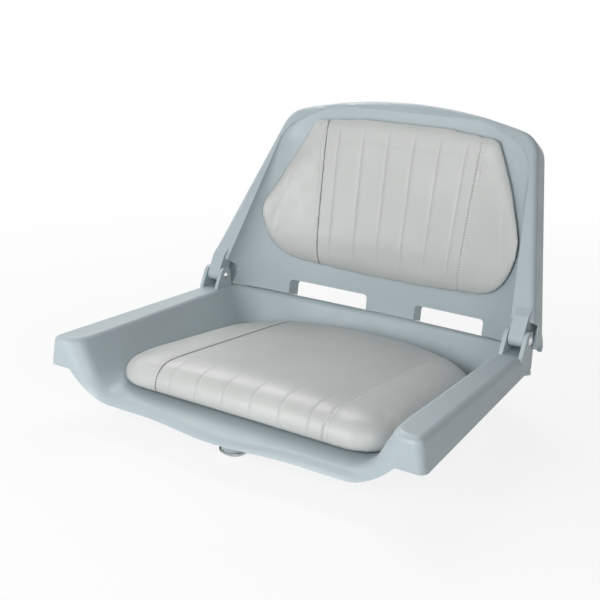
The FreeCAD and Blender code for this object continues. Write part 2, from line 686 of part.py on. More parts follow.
def screw(at, along, grip, bite):
    """Round-headed screw: head at the point, shank along the direction."""
    shank = Part.makeCylinder(SCREW_R, grip + bite, at, along)
    head = Part.makeCylinder(SCREW_HEAD_R, SCREW_HEAD, at - along * SCREW_HEAD, along)
    crown = [e for e in head.Edges if isinstance(e.Curve, Part.Circle)
             and e.CenterOfMass.distanceToPoint(at) > SCREW_HEAD / 2]
    return joined([head.makeFillet(SCREW_HEAD * 0.7, crown), shank])


Z_AXIS = Vector(0, 0, 1)
screws = [moved(screw(p, Z_AXIS, WALL + board_low, SCREW_BITE), PAN_PLACE) for p in seat_screws]
pilots = [moved(Part.makeCylinder(SCREW_R + FIT_CLEAR, WALL + board_low + SCREW_BITE + 1, p), PAN_PLACE)
          for p in seat_screws]
seat_board = seat_board.cut(seat_staples + pilots)


def panels(cover, seam):
    """The cover split along its two seams: middle, left and right."""
    edge = seam - SEAM_GAP / 2
    wide = 300
    middle = box(-edge, edge, -400, 800, -400, 800)
    right = box(seam + SEAM_GAP / 2, wide, -400, 800, -400, 800)
    left = box(-wide, -seam - SEAM_GAP / 2, -400, 800, -400, 800)
    return [cover.common(part) for part in (middle, left, right)]


for name, piece in zip(("center", "left", "right"), panels(seat_cover, SEAM_HALF)):
    piece.exportStep("parts/seat_cover_%s_panel.step" % name)
seat_board.exportStep("parts/seat_board.step")
seat_foam.exportStep("parts/seat_foam.step")
group(seat_staples).exportStep("parts/seat_cover_staples.step")
group(screws).exportStep("parts/seat_cushion_screws.step")


# Back cushion: a curved pad lying in the dish, hollow to the sitter's back
def back_face(grow):
    """Space in front of the cushion face, grown into the cushion by a given amount."""
    return swept(BACK_PAD_HIGH + 4, lambda h: dish_half(h) + BACK_FACE_OUT + grow,
                 lambda h: BACK_FACE_DEPTH - BACK_FACE_SLOPE * h + grow,
                 RIM_AHEAD + BACK_FACE_AHEAD)


back_points = [(BACK_PAD_LOW_HALF, BACK_PAD_LOW), (BACK_PAD_HALF, BACK_PAD_WIDE_H),
               (BACK_PAD_TOP_HALF, BACK_PAD_HIGH)]
back_radii = [44, 60, 14]
back_plan = rounded(mirrored(back_points), back_radii + back_radii[::-1])


def back_prism(draw_in):
    """Prism on the back cushion outline, running front to rear."""
    base = inset(back_plan, draw_in).copy()
    base.rotate(Vector(0, 0, 0), X_AXIS, 90)
    base.translate(Vector(0, -40, 0))
    return base.extrude(Vector(0, 200, 0))


clear = PAD_CLEAR
ahead = box(-300, 300, face_b - BACK_FACE_AHEAD, face_b, 0, 300)


def back_pad(draw_in, behind, before):
    """Pad drawn in from its outline, from the dish behind it and from its face."""
    room = joined([dish(-behind), ahead])
    return room.common(back_prism(draw_in)).cut(back_face(before))


back_skin = back_pad(0, clear, 0)
back_room = back_pad(COVER, clear + COVER, COVER)
hem_hole = back_prism(BACK_HEM).cut(back_face(2 * COVER + 2))
back_cover = back_skin.cut([back_room, hem_hole])
board_at = clear + COVER + 0.2
back_board = dish(-board_at).cut(dish(-board_at - BACK_BOARD)).common(back_prism(BOARD_INSET))
back_foam = back_pad(foam_in, board_at + BACK_BOARD + 0.3, foam_in)

back_staples = []
for x, h in ((-166, 95), (-160, 130), (-143, 165), (166, 95), (160, 130), (143, 165),
             (-110, 74), (-40, 74), (40, 74), (110, 74), (-90, 224), (-30, 224), (30, 224), (90, 224)):
    wide = dish_half(h) - clear
    deep = dish_depth(h) - clear
    sag = math.sqrt(1 - (x / wide) ** 2)
    step = 1.0
    above = (dish_depth(h + step) - clear) * math.sqrt(1 - (x / (dish_half(h + step) - clear)) ** 2)
    up = Vector(0, above - deep * sag, step)
    inward = Vector(-x * deep / wide / wide, -sag, 0)
    up.normalize()
    side = inward.cross(up)
    side.normalize()
    inward = up.cross(side)
    turn = Matrix(up.x, side.x, inward.x, x, up.y, side.y, inward.y, face_b + deep * sag,
                  up.z, side.z, inward.z, h, 0, 0, 0, 1)
    back_staples.append(staple(Placement(turn)))
back_cover = back_cover.cut(back_staples)
grip = WALL + SCREW_BOSS + board_at
heads = [screw(p + Y_AXIS * (WALL + SCREW_BOSS), -Y_AXIS, grip, BACK_SCREW_BITE) for p in back_screws]
pilots = [Part.makeCylinder(SCREW_R + FIT_CLEAR, grip + BACK_SCREW_BITE + 1,
                            p + Y_AXIS * (WALL + SCREW_BOSS), -Y_AXIS) for p in back_screws]
back_board = back_board.cut(back_staples + pilots)
back_foam = back_foam.cut(back_staples + pilots)

for name, piece in zip(("center", "left", "right"), panels(back_cover, BACK_SEAM_HALF)):
    moved(piece, BACK_PLACE).exportStep("parts/back_cover_%s_panel.step" % name)
moved(back_board, BACK_PLACE).exportStep("parts/back_board.step")
moved(back_foam, BACK_PLACE).exportStep("parts/back_foam.step")
moved(group(back_staples), BACK_PLACE).exportStep("parts/back_cover_staples.step")
moved(group(heads), BACK_PLACE).exportStep("parts/back_cushion_screws.step")
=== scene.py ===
import math

import bpy
import numpy as np
from mathutils import Matrix, Vector
from mathutils.bvhtree import BVHTree


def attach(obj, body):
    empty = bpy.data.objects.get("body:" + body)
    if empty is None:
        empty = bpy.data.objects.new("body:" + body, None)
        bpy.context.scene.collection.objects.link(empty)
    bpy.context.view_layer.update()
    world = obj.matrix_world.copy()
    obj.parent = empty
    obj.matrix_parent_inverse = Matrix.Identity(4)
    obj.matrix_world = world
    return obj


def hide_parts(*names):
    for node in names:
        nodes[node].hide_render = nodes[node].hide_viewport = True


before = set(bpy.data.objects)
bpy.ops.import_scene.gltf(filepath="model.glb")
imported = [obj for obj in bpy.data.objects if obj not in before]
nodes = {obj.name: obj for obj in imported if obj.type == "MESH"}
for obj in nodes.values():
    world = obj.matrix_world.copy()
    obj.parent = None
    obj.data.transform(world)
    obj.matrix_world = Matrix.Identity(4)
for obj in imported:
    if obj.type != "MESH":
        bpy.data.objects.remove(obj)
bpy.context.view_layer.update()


# Seat and back shells: one tray with arms and a dished back, injection moulded in
# blue-grey plastic with a fine satin grain. The back turns on the tray's hinge ears.
def new_material(name):
    """A material with its node tree and its Principled shader."""
    material = bpy.data.materials.new(name)
    material.use_nodes = True
    return material, material.node_tree, material.node_tree.nodes["Principled BSDF"]


def add_node(tree, kind, inputs=None, **settings):
    """A shader node with its settings and its plain input values."""
    made = tree.nodes.new(kind)
    for key, value in settings.items():
        setattr(made, key, value)
    for key, value in (inputs or {}).items():
        made.inputs[key].default_value = value
    return made


def noise(tree, place, scale, detail, stretch=(1, 1, 1)):
    """Noise factor on object coordinates, stretched along the axes."""
    mapping = add_node(tree, "ShaderNodeMapping", {"Scale": stretch})
    made = add_node(tree, "ShaderNodeTexNoise", {"Scale": scale, "Detail": detail})
    tree.links.new(place, mapping.inputs["Vector"])
    tree.links.new(mapping.outputs["Vector"], made.inputs["Vector"])
    return made.outputs["Fac"]


def object_place(tree):
    """Object coordinates, in metres."""
    return add_node(tree, "ShaderNodeTexCoord").outputs["Object"]


def spread(tree, value, low, high, start=0.3, end=0.7):
    """The value between start and end, mapped to low and high and held there."""
    made = add_node(tree, "ShaderNodeMapRange",
                    {"From Min": start, "From Max": end, "To Min": low, "To Max": high})
    tree.links.new(value, made.inputs["Value"])
    return made.outputs["Result"]


def mixed(tree, factor, first, second):
    """Colour between two colours or colour outputs by a factor."""
    made = add_node(tree, "ShaderNodeMix", data_type="RGBA")
    tree.links.new(factor, made.inputs[0])
    for socket, value in ((made.inputs[6], first), (made.inputs[7], second)):
        if isinstance(value, tuple):
            socket.default_value = value + (1.0,)
        else:
            tree.links.new(value, socket)
    return made.outputs[2]


def bumped(tree, shader, heights):
    """Bump made of several (height output, distance in metres, strength), one on another."""
    previous = None
    for height, distance, strength in heights:
        made = add_node(tree, "ShaderNodeBump", {"Distance": distance, "Strength": strength})
        tree.links.new(height, made.inputs["Height"])
        if previous:
            tree.links.new(previous.outputs["Normal"], made.inputs["Normal"])
        previous = made
    tree.links.new(previous.outputs["Normal"], shader.inputs["Normal"])


def moulded_plastic():
    """Satin plastic: cloudy blue-grey, faint pale scuffs, fine moulded grain."""
    material, tree, shader = new_material("moulded_plastic")
    place = object_place(tree)
    cloud = spread(tree, noise(tree, place, 9.0, 4.0), 0.0, 1.0)
    colour = mixed(tree, cloud, (0.405, 0.475, 0.505), (0.435, 0.508, 0.54))
    scuff = spread(tree, noise(tree, place, 160.0, 6.0, (1.0, 0.25, 1.0)), 0.0, 0.35, 0.66, 0.8)
    colour = mixed(tree, scuff, colour, (0.55, 0.61, 0.64))
    tree.links.new(colour, shader.inputs["Base Color"])
    gloss = spread(tree, noise(tree, place, 40.0, 5.0), 0.36, 0.5)
    tree.links.new(gloss, shader.inputs["Roughness"])
    bumped(tree, shader, [(noise(tree, place, 1500.0, 2.0), 0.0002, 0.12),
                          (noise(tree, place, 25.0, 2.0), 0.0006, 0.08)])
    return material


def dress(names, material):
    """Gives CAD nodes a finished material in place of their plain one."""
    for name in names:
        mesh = nodes[name].data
        mesh.materials.clear()
        mesh.materials.append(material)


dress(["seat_shell", "back_shell"], moulded_plastic())


# Hinge pins, end caps, washers and fasteners: plated steel with fine scratches. The pins
# sit in the hinge ears; the staples and screws hold the cushions and are mostly hidden.
def plated_steel():
    """Bright grey metal with fine scratches and slightly cloudy plating."""
    material, tree, shader = new_material("plated_steel")
    place = object_place(tree)
    shader.inputs["Metallic"].default_value = 1.0
    cloud = spread(tree, noise(tree, place, 260.0, 3.0), 0.0, 1.0)
    tree.links.new(mixed(tree, cloud, (0.5, 0.51, 0.52), (0.66, 0.67, 0.68)),
                   shader.inputs["Base Color"])
    scratch = noise(tree, place, 1800.0, 3.0, (0.15, 1.0, 1.0))
    tree.links.new(spread(tree, scratch, 0.26, 0.42), shader.inputs["Roughness"])
    bumped(tree, shader, [(scratch, 0.0001, 0.15)])
    return material


steel = plated_steel()
dress(["left_hinge_pin", "right_hinge_pin", "left_pin_cap", "right_pin_cap", "hinge_washers",
       "seat_cover_staples", "back_cover_staples", "seat_cushion_screws", "back_cushion_screws"], steel)


# Front foot and mounting inserts: a pressed metal dome on a stem under the front lip,
# and four brass thread inserts moulded into the bosses.
def worn_metal(name, dark, light, rough):
    """Metal with soft stains and uneven wear, both by noise."""
    material, tree, shader = new_material(name)
    place = object_place(tree)
    shader.inputs["Metallic"].default_value = 1.0
    stain = spread(tree, noise(tree, place, 120.0, 5.0), 0.0, 1.0)
    tree.links.new(mixed(tree, stain, dark, light), shader.inputs["Base Color"])
    tree.links.new(spread(tree, noise(tree, place, 500.0, 4.0), rough, rough + 0.16),
                   shader.inputs["Roughness"])
    bumped(tree, shader, [(noise(tree, place, 900.0, 3.0), 0.0001, 0.2)])
    return material


dress(["front_foot_glide"], worn_metal("foot_metal", (0.36, 0.37, 0.37), (0.52, 0.53, 0.52), 0.3))
dress(["mount_inserts"], worn_metal("insert_brass", (0.5, 0.36, 0.14), (0.68, 0.52, 0.24), 0.25))


# Cushion boards: plain plywood inside each cushion, which the cover is stapled to.
def plywood():
    """Long straight grain lines in pale brown."""
    material, tree, shader = new_material("plywood")
    place = object_place(tree)
    grain = noise(tree, place, 90.0, 6.0, (1.0, 0.06, 1.0))
    tree.links.new(mixed(tree, spread(tree, grain, 0.0, 1.0), (0.42, 0.28, 0.15), (0.6, 0.43, 0.26)),
                   shader.inputs["Base Color"])
    shader.inputs["Roughness"].default_value = 0.7
    bumped(tree, shader, [(grain, 0.0003, 0.3)])
    return material


dress(["seat_board", "back_board"], plywood())


# Seat cushion: foam in a cover of three vinyl panels that are sewn together along two seams.
# Sewn channels run back over the middle panel's front roll and fade. It lies in the pan.
SEAT_SEAM = 0.1156
STITCH_ROWS = (1.016, 1.056)
CHANNELS_A_SIDE = 3


def math_step(tree, operation, value, second=0.0):
    """One step of arithmetic on a value."""
    made = add_node(tree, "ShaderNodeMath", {1: second}, operation=operation)
    tree.links.new(value, made.inputs[0])
    return made.outputs[0]


def product(tree, first, second):
    """Two values multiplied."""
    made = add_node(tree, "ShaderNodeMath", operation="MULTIPLY")
    tree.links.new(first, made.inputs[0])
    tree.links.new(second, made.inputs[1])
    return made.outputs[0]


def vinyl():
    """Soft grained vinyl with painted shade as a dark line along each seam, and channels that are
    dented by a bump and darkened with painted shade. The mesh's across attribute is 0 in the middle
    and 1 on the seams; a channel is where three times that is halfway between two whole numbers, as
    strong as the mesh's sewn attribute. Painted shade also darkens a thin line along each row of
    stitches."""
    material, tree, shader = new_material("vinyl")
    place = object_place(tree)
    across = add_node(tree, "ShaderNodeAttribute", attribute_name="across").outputs["Fac"]
    from_seam = math_step(tree, "ABSOLUTE", math_step(tree, "SUBTRACT", across, 1.0))
    seam_shade = spread(tree, from_seam, 1.0, 0.0, 0.0014, 0.004)
    share = math_step(tree, "FRACT", math_step(tree, "MULTIPLY", across, CHANNELS_A_SIDE))
    from_channel = math_step(tree, "ABSOLUTE", math_step(tree, "SUBTRACT", share, 0.5))
    near_channel = spread(tree, from_channel, 1.0, 0.0, 0.006, 0.03)
    sewn = add_node(tree, "ShaderNodeAttribute", attribute_name="sewn").outputs["Fac"]
    channel_dent_and_shade = product(tree, near_channel, sewn)
    cloud = spread(tree, noise(tree, place, 14.0, 4.0), 0.0, 1.0)
    colour = mixed(tree, cloud, (0.522, 0.533, 0.522), (0.562, 0.573, 0.562))
    speck = spread(tree, noise(tree, place, 420.0, 3.0), 0.0, 0.12, 0.5, 0.75)
    colour = mixed(tree, speck, colour, (0.4, 0.406, 0.398))
    # Painted shade: the channel lines are darkened in the colour, as shade in their grooves; the same
    # mask also dents them by bump.
    colour = mixed(tree, math_step(tree, "MULTIPLY", channel_dent_and_shade, 0.17), colour, (0.26, 0.265, 0.26))
    # Painted shade: a dark line along each seam, where the edge of the side panel throws shade.
    colour = mixed(tree, seam_shade, colour, (0.14, 0.14, 0.137))
    # Painted shade: a thin dark line along each row of stitches, seen between the stitches.
    for row in STITCH_ROWS:
        from_row = math_step(tree, "ABSOLUTE", math_step(tree, "SUBTRACT", across, row))
        colour = mixed(tree, spread(tree, from_row, 0.4, 0.0, 0.001, 0.005), colour, (0.2, 0.2, 0.195))
    tree.links.new(colour, shader.inputs["Base Color"])
    tree.links.new(spread(tree, noise(tree, place, 60.0, 4.0), 0.32, 0.44), shader.inputs["Roughness"])
    shader.inputs["Sheen Weight"].default_value = 0.06
    cells = add_node(tree, "ShaderNodeTexVoronoi", {"Scale": 750.0}, feature="DISTANCE_TO_EDGE")
    tree.links.new(place, cells.inputs["Vector"])
    hollow = math_step(tree, "MULTIPLY", channel_dent_and_shade, -1.0)
    bumped(tree, shader, [(spread(tree, cells.outputs["Distance"], 0.0, 1.0, 0.0, 0.25), 0.0001, 0.25),
                          (noise(tree, place, 90.0, 3.0), 0.0006, 0.1), (hollow, 0.0005, 0.6)])
    return material


def rounded_outline(points, radii, count):
    """Closed outline with a round of the given radius at each corner, as evenly spaced points.
    A round's centre lies radius / cos(turn / 2) from the corner along the line that halves it."""
    corners = np.array(points, float)
    radii = np.array(radii, float)
    back = np.roll(corners, 1, axis=0) - corners
    ahead = np.roll(corners, -1, axis=0) - corners
    back /= np.linalg.norm(back, axis=1)[:, None]
    ahead /= np.linalg.norm(ahead, axis=1)[:, None]
    turn = np.pi - np.arccos(np.sum(back * ahead, axis=1))
    inward = back + ahead
    inward /= np.linalg.norm(inward, axis=1)[:, None]
    centre = corners + inward * (radii / np.cos(turn / 2))[:, None]
    angle = np.linspace(-0.5, 0.5, 24)[None, :] * turn[:, None]
    out_x = -inward[:, 0, None] * np.cos(angle) + inward[:, 1, None] * np.sin(angle)
    out_y = -inward[:, 0, None] * np.sin(angle) - inward[:, 1, None] * np.cos(angle)
    path = centre[:, None, :] + radii[:, None, None] * np.stack([out_x, out_y], axis=2)
    path = path.reshape(-1, 2)
    path = np.vstack([path, path[:1]])
    run = np.concatenate([[0.0], np.cumsum(np.linalg.norm(np.diff(path, axis=0), axis=1))])
    at = np.linspace(0.0, run[-1], count, endpoint=False)
    return np.stack([np.interp(at, run, path[:, 0]), np.interp(at, run, path[:, 1])], axis=1)


def outward(outline):
    """Outward unit normals of a closed outline that runs anticlockwise."""
    along = np.roll(outline, -1, axis=0) - np.roll(outline, 1, axis=0)
    along /= np.linalg.norm(along, axis=1)[:, None]
    return np.stack([along[:, 1], -along[:, 0]], axis=1)


def pad_rings(outline, centre, edge):
    """Rings of plan points and their levels, from the middle of the face over the edge to the
    middle of the underside. edge lists (inset, inset at the front, level), and the inset changes from
    one to the other as the outline turns to the front; the first and last rings shrink to the centre."""
    edge = np.array(edge)
    out = outward(outline)
    ahead = np.clip(-out[:, 1], 0.0, 1.0) ** 2
    insets = edge[:, 0, None] + (edge[:, 1] - edge[:, 0])[:, None] * ahead[None]
    sides = outline[None] - insets[:, :, None] * out[None]
    shrink = np.linspace(0.0, 1.0, 24, endpoint=False)[:, None, None]
    top = centre + shrink * (sides[0] - centre)
    under = centre + shrink[::-1] * (sides[-1] - centre)
    rings = np.concatenate([top, sides, under])
    levels = np.concatenate([np.full(24, edge[0, 2]), edge[:, 2], np.full(24, edge[-1, 2])])
    return rings, levels


def grid_piece(name, points):
    """Mesh object from a grid of points (rings, points round each ring, 3), closed round the rings."""
    rings, around = points.shape[:2]
    index = np.arange(rings * around).reshape(rings, around)
    nxt = np.roll(index, -1, axis=1)
    quads = np.stack([index[:-1], index[1:], nxt[1:], nxt[:-1]], axis=2).reshape(-1, 4)
    mesh = bpy.data.meshes.new(name)
    mesh.from_pydata(points.reshape(-1, 3), [], quads)
    piece = bpy.data.objects.new(name, mesh)
    bpy.context.scene.collection.objects.link(piece)
    return piece


def settle(piece):
    """Puts what the piece's modifiers make into its mesh and removes them."""
    shown = piece.evaluated_get(bpy.context.evaluated_depsgraph_get())
    mesh = bpy.data.meshes.new_from_object(shown)
    piece.modifiers.clear()
    piece.data = mesh


def mesh_points(mesh):
    """Vertex positions as an array."""
    points = np.empty(len(mesh.vertices) * 3)
    mesh.vertices.foreach_get("co", points)
    return points.reshape(-1, 3)


def mesh_normals(mesh):
    """Vertex normals as an array."""
    normals = np.empty(len(mesh.vertices) * 3)
    mesh.vertex_normals.foreach_get("vector", normals)
    return normals.reshape(-1, 3)


def set_points(mesh, points):
    """Puts an array of positions into the vertices."""
    mesh.vertices.foreach_set("co", points.ravel())
    mesh.update()


def even_skin(piece, voxel):
    """Makes the piece one even skin of small squares, smoothed."""
    skin = piece.modifiers.new("skin", "REMESH")
    skin.mode = "VOXEL"
    skin.voxel_size = voxel
    smooth = piece.modifiers.new("smooth", "SMOOTH")
    smooth.iterations = 12
    settle(piece)


def puffed(piece, held, most):
    """Blows the skin out as cloth with pressure inside. held is 1 where the cloth can't move,
    and no point moves further than most."""
    group = piece.vertex_groups.new(name="held")
    for weight in (0.25, 0.5, 0.75, 1.0):
        near = np.nonzero(np.abs(held - weight) <= 0.125)[0]
        group.add(near.tolist(), weight, "REPLACE")
    start = mesh_points(piece.data)
    cloth = piece.modifiers.new("puff", "CLOTH")
    cloth.settings.quality = 4
    cloth.settings.use_pressure = True
    cloth.settings.uniform_pressure_force = 4.0
    cloth.settings.effector_weights.gravity = 0.0
    cloth.settings.vertex_group_mass = "held"
    cloth.collision_settings.use_collision = False
    cloth.point_cache.frame_end = 20
    for number in range(1, 21):
        bpy.context.scene.frame_set(number)
    shown = piece.evaluated_get(bpy.context.evaluated_depsgraph_get())
    shift = mesh_points(shown.data) - start
    piece.modifiers.clear()
    bpy.context.scene.frame_set(1)
    length = np.maximum(np.linalg.norm(shift, axis=1), 1e-9)
    shift *= (most * np.tanh(length / most) / length)[:, None]
    set_points(piece.data, start + shift)
    piece.vertex_groups.clear()


def finer(piece):
    """One level of smooth subdivision."""
    cut = piece.modifiers.new("cut", "SUBSURF")
    cut.levels = 1
    cut.render_levels = 1
    settle(piece)
    piece.data.polygons.foreach_set("use_smooth", np.ones(len(piece.data.polygons), bool))


def groove(distance, width):
    """1 on a line and falling away beside it as a bell curve."""
    return np.exp(-(distance / width) ** 2)


PAN_ORIGIN = Vector((0.0, -0.245, 0.0456))
PAN_TILT = math.radians(-4.0)
PAN_FRONT_HALF = 0.183
PAN_TAPER = 0.0514
PAN_ROUND = 0.036
PAN_LEAN = math.radians(28.0)
PAN_HALF_TURN = math.radians(31.0)
PAN_CLEAR = 0.0008
BOWL_START = 0.292
BOWL_DEPTH = 0.4428
LAP_NEAR = 0.0018
LAP_EDGE = 0.00015
LAP_RISE = 0.0004
LAP_FADE = 0.006
in_pan = Matrix.Translation(PAN_ORIGIN) @ Matrix.Rotation(PAN_TILT, 4, "X")


def carried(points, place):
    """Points carried by a placement."""
    turn = np.array(place)
    return points @ turn[:3, :3].T + turn[:3, 3]


def mark(mesh, name, values):
    """Keeps one number for each vertex under a name that a material can read."""
    mesh.attributes.new(name, "FLOAT", "POINT").data.foreach_set("value", values)


def pan_wall(y, z):
    """Half-width of the pan at a distance from the front and a height: a round of 36 mm at the floor,
    then a wall that leans out by 28 degrees."""
    half = PAN_FRONT_HALF - PAN_TAPER * y
    reach = PAN_ROUND * math.tan(PAN_HALF_TURN)
    bend = half - reach + np.sqrt(np.maximum(0.0, PAN_ROUND ** 2 - np.minimum(0.0, z - PAN_ROUND) ** 2))
    lean = half + z * math.tan(PAN_LEAN)
    return np.where(z < reach * math.cos(PAN_LEAN), bend, lean)


def inside_pan(points):
    """Points kept just off the pan: across the trough, and in the rear bowl, which is half an ellipse
    in plan, drawn in towards the middle of its straight side."""
    across, along, high = points.T
    room = pan_wall(np.minimum(along, BOWL_START), high) - PAN_CLEAR
    behind = np.maximum(0.0, along - BOWL_START) / BOWL_DEPTH
    drawn = np.minimum(1.0, room / np.maximum(np.hypot(across, behind), 1e-6))
    kept = np.where(along > BOWL_START, BOWL_START + behind * BOWL_DEPTH * drawn, along)
    return np.stack([across * drawn, kept, high], axis=1)


def lapped(across, seam):
    """New distances across and the rise of points by a seam where the side panel lies over the middle
    one. Points nearer than 1.8 mm come to its edge; the rise falls off as exp(-distance / 6 mm)."""
    beside = np.abs(across) - seam
    beside = np.where(np.abs(beside) < LAP_NEAR, np.copysign(LAP_EDGE, beside), beside)
    rise = np.copysign(LAP_RISE, beside) * np.exp(-np.abs(beside) / LAP_FADE)
    return np.copysign(seam + beside, across), rise


seat_half = [(0.181, 0.032), (0.196, 0.094), (0.190, 0.262), (0.157, 0.323), (0.075, 0.3625)]
seat_outline = rounded_outline(seat_half + [(-x, y) for x, y in reversed(seat_half)],
                               [0.052, 0.06, 0.07, 0.12, 0.2, 0.2, 0.12, 0.07, 0.06, 0.052], 360)
seat_edge = [(0.05, 0.045, 0.0362), (0.035, 0.027, 0.0354), (0.0235, 0.018, 0.0338),
             (0.0152, 0.0118, 0.0311), (0.0092, 0.0072, 0.0275), (0.0046, 0.0038, 0.0231),
             (0.0017, 0.0014, 0.0181), (0.0002, 0.0002, 0.0128), (0.002, 0.0, 0.0078),
             (0.008, 0.0008, 0.0045), (0.016, 0.006, 0.003), (0.028, 0.018, 0.0024)]
SEAT_CROWN = 0.15
SEAT_HALF_WIDTH = 0.19
SEAT_SQUARE = 0.0036
SEAT_PUFF = 0.003
SEAT_HELD_HEIGHT = 0.02
CHANNEL_DEPTH = 0.0005
rings, levels = pad_rings(seat_outline, np.array([0.0, 0.19]), seat_edge)
crown = 1.0 + SEAT_CROWN * (1.0 - (rings[..., 0] / SEAT_HALF_WIDTH) ** 2)
seat_points = np.stack([rings[..., 0], rings[..., 1], levels[:, None] * crown], axis=2)
seat_pad = grid_piece("seat_cushion", carried(seat_points, in_pan))
even_skin(seat_pad, SEAT_SQUARE)


def seat_local(mesh):
    """Positions in the pan's own frame."""
    return carried(mesh_points(mesh), in_pan.inverted())


local = seat_local(seat_pad.data)
from_seam = np.abs(np.abs(local[:, 0]) - SEAT_SEAM)
held = np.where(local[:, 2] < SEAT_HELD_HEIGHT, 1.0, groove(from_seam, 0.004))
puffed(seat_pad, held, SEAT_PUFF)
finer(seat_pad)
local = seat_local(seat_pad.data)
normals = mesh_normals(seat_pad.data) @ np.array(in_pan.to_3x3())
facing = np.clip(normals[:, 2] * 4 + 3, 0.0, 1.0)
local[:, 0], rise = lapped(local[:, 0], SEAT_SEAM)
across = np.abs(local[:, 0]) / SEAT_SEAM
from_channel = np.abs((across * CHANNELS_A_SIDE) % 1.0 - 0.5) * SEAT_SEAM / CHANNELS_A_SIDE
middle = np.clip((SEAT_SEAM - np.abs(local[:, 0])) / 0.01, 0.0, 1.0)
sewn = np.clip((0.11 - local[:, 1]) / 0.06, 0.0, 1.0) * middle * facing
rise -= CHANNEL_DEPTH * sewn * groove(from_channel, 0.0024)
local = inside_pan(local + normals * (rise * facing)[:, None])
set_points(seat_pad.data, carried(local, in_pan))
mark(seat_pad.data, "sewn", sewn)
mark(seat_pad.data, "across", across)
grey_vinyl = vinyl()
seat_pad.data.materials.append(grey_vinyl)
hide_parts("seat_cover_center_panel", "seat_cover_left_panel", "seat_cover_right_panel",
            "seat_foam")
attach(seat_pad, "seat")


# Stitching on the cushions: two rows of pale thread through each side panel beside its
# seam, each stitch a short round run of thread that dips into the vinyl at both ends.
STITCH_PITCH = 0.0038
STITCH_SHARE = 0.78
STITCH_ARCH = np.array([-0.0003, 0.00015, 0.00025, 0.00015, -0.0003])
STITCH_RADII = np.array([0.0001, 0.00046, 0.00054, 0.00046, 0.0001])
STITCH_RINGS = 5
RING_POINTS = 6


def thread():
    """Pale thread, mottled light and dark by noise."""
    material, tree, shader = new_material("thread")
    place = object_place(tree)
    twist = noise(tree, place, 1600.0, 2.0)
    tree.links.new(mixed(tree, spread(tree, twist, 0.0, 1.0), (0.68, 0.69, 0.68), (0.8, 0.81, 0.8)),
                   shader.inputs["Base Color"])
    shader.inputs["Roughness"].default_value = 0.6
    bumped(tree, shader, [(twist, 0.0001, 0.3)])
    return material


def surface_row(piece, starts, ends):
    """Points and normals where lines from the starts to the ends first meet the piece."""
    tree = BVHTree.FromObject(piece, bpy.context.evaluated_depsgraph_get())
    hits = [tree.ray_cast(Vector(a), Vector(b - a)) for a, b in zip(starts, ends)]
    found = [hit for hit in hits if hit[0] is not None]
    return np.array([hit[0] for hit in found]), np.array([hit[1] for hit in found])


def stitch_row(points, normals):
    """Rings of thread along a row of surface points. The row is read at even steps of its length;
    each stitch is five rings of six points on an arch that rises out of the surface and back."""
    run = np.concatenate([[0.0], np.cumsum(np.linalg.norm(np.diff(points, axis=0), axis=1))])
    starts = np.arange(0.0, run[-1] - STITCH_PITCH, STITCH_PITCH)
    steps = np.linspace(0.0, STITCH_SHARE, STITCH_RINGS)
    at = (starts[:, None] + steps[None] * STITCH_PITCH).ravel()
    spine = np.stack([np.interp(at, run, points[:, i]) for i in range(3)], axis=1)
    up = np.stack([np.interp(at, run, normals[:, i]) for i in range(3)], axis=1)
    up /= np.linalg.norm(up, axis=1)[:, None]
    along = np.gradient(spine, axis=0)
    side = np.cross(along, up)
    side /= np.linalg.norm(side, axis=1)[:, None]
    arch = np.tile(STITCH_ARCH, len(starts))
    thick = np.tile(STITCH_RADII, len(starts))
    angle = np.linspace(0.0, 2 * np.pi, RING_POINTS, endpoint=False)
    ring = np.cos(angle)[None, :, None] * side[:, None] + np.sin(angle)[None, :, None] * up[:, None]
    rings = (spine + arch[:, None] * up)[:, None] + thick[:, None, None] * ring
    return rings.reshape(len(starts), STITCH_RINGS, RING_POINTS, 3)


def stitched(name, rows, body):
    """One piece of all the stitches in some rows, riding on a body."""
    stitches = np.concatenate(rows)
    count = len(stitches)
    index = np.arange(count * STITCH_RINGS * RING_POINTS).reshape(count, STITCH_RINGS, RING_POINTS)
    nxt = np.roll(index, -1, axis=2)
    quads = np.stack([index[:, :-1], index[:, 1:], nxt[:, 1:], nxt[:, :-1]], axis=3).reshape(-1, 4)
    ends = np.concatenate([index[:, 0], index[:, -1, ::-1]])
    mesh = bpy.data.meshes.new(name)
    mesh.from_pydata(stitches.reshape(-1, 3), [], quads.tolist() + ends.tolist())
    mesh.polygons.foreach_set("use_smooth", np.ones(len(mesh.polygons), bool))
    piece = bpy.data.objects.new(name, mesh)
    bpy.context.scene.collection.objects.link(piece)
    mesh.materials.append(pale_thread)
    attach(piece, body)


pale_thread = thread()
seat_rows = []
ROLL_Y = 0.064
ROLL_Z = 0.012
ROLL_REACH = 0.1
ABOVE_SEAT = 0.09
flat = np.linspace(0.325, 0.065, 130)
bend = np.radians(np.linspace(90.0, 184.0, 60))
front_y = ROLL_Y + ROLL_REACH * np.cos(bend)
front_z = ROLL_Z + ROLL_REACH * np.sin(bend)
for x in [side * SEAT_SEAM * row for side in (-1, 1) for row in STITCH_ROWS]:
    above = np.stack([np.full_like(flat, x), flat, np.full_like(flat, ABOVE_SEAT)], axis=1)
    round_front = np.stack([np.full_like(bend, x), front_y, front_z], axis=1)
    over = carried(np.concatenate([above, round_front]), in_pan)
    roll_middle = np.tile([x, ROLL_Y, ROLL_Z], (len(bend), 1))
    middle_line = np.concatenate([above - [0.0, 0.0, ABOVE_SEAT - ROLL_Z], roll_middle])
    seat_rows.append(stitch_row(*surface_row(seat_pad, over, carried(middle_line, in_pan))))
stitched("seat_stitching", seat_rows, "seat")


